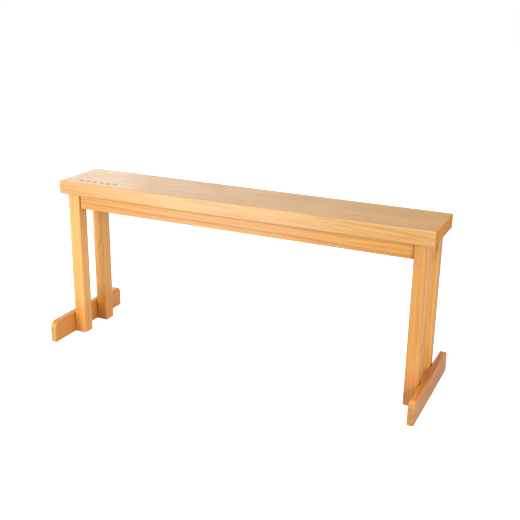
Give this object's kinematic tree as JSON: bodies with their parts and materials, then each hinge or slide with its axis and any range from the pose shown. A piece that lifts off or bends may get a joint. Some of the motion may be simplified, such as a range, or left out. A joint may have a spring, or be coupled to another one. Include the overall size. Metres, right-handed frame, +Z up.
{
  "type": "wooden exercise bench",
  "caption": "Tall, narrow wooden exercise bench: a thick plank on square posts, with rails under the plank and a round-cornered foot board on edge across each end.",
  "frame": {"origin": "on the floor, under the middle of the plank", "axes": "+X along the plank, +Y across it towards the back, +Z up"},
  "size_m": [1.2046, 0.375, 0.522],
  "materials": {
    "plank_pine": "satin clear lacquer over pale pine",
    "post_pine": "satin clear lacquer over honey-coloured pine",
    "rail_pine": "satin clear lacquer over warm honey-coloured pine",
    "foot_pine": "satin clear lacquer over darker honey-coloured pine",
    "dowel_beech": "bare beech",
    "screw_steel": "bright zinc plate"
  },
  "bodies": {
    "root": {"top_plank": "plank_pine", "post_front_left": "post_pine", "post_front_right": "post_pine", "post_rear_left": "post_pine", "post_rear_right": "post_pine", "rail_front": "rail_pine", "rail_rear": "rail_pine", "rail_left": "rail_pine", "rail_right": "rail_pine", "foot_board_left": "foot_pine", "foot_board_right": "foot_pine", "dowel_end_rail_front_left_lower": "dowel_beech", "dowel_end_rail_front_left_upper": "dowel_beech", "dowel_end_rail_front_right_lower": "dowel_beech", "dowel_end_rail_front_right_upper": "dowel_beech", "dowel_end_rail_rear_left_lower": "dowel_beech", "dowel_end_rail_rear_left_upper": "dowel_beech", "dowel_end_rail_rear_right_lower": "dowel_beech", "dowel_end_rail_rear_right_upper": "dowel_beech", "dowel_foot_front_left_lower": "dowel_beech", "dowel_foot_front_left_upper": "dowel_beech", "dowel_foot_front_right_lower": "dowel_beech", "dowel_foot_front_right_upper": "dowel_beech", "dowel_foot_rear_left_lower": "dowel_beech", "dowel_foot_rear_left_upper": "dowel_beech", "dowel_foot_rear_right_lower": "dowel_beech", "dowel_foot_rear_right_upper": "dowel_beech", "dowel_long_rail_front_left_lower": "dowel_beech", "dowel_long_rail_front_left_upper": "dowel_beech", "dowel_long_rail_front_right_lower": "dowel_beech", "dowel_long_rail_front_right_upper": "dowel_beech", "dowel_long_rail_rear_left_lower": "dowel_beech", "dowel_long_rail_rear_left_upper": "dowel_beech", "dowel_long_rail_rear_right_lower": "dowel_beech", "dowel_long_rail_rear_right_upper": "dowel_beech", "dowel_top_front_left": "dowel_beech", "dowel_top_front_right": "dowel_beech", "dowel_top_rear_left": "dowel_beech", "dowel_top_rear_right": "dowel_beech", "screw_front_left": "screw_steel", "screw_front_middle": "screw_steel", "screw_front_right": "screw_steel", "screw_rear_left": "screw_steel", "screw_rear_middle": "screw_steel", "screw_rear_right": "screw_steel"}
  },
  "joints": []
}
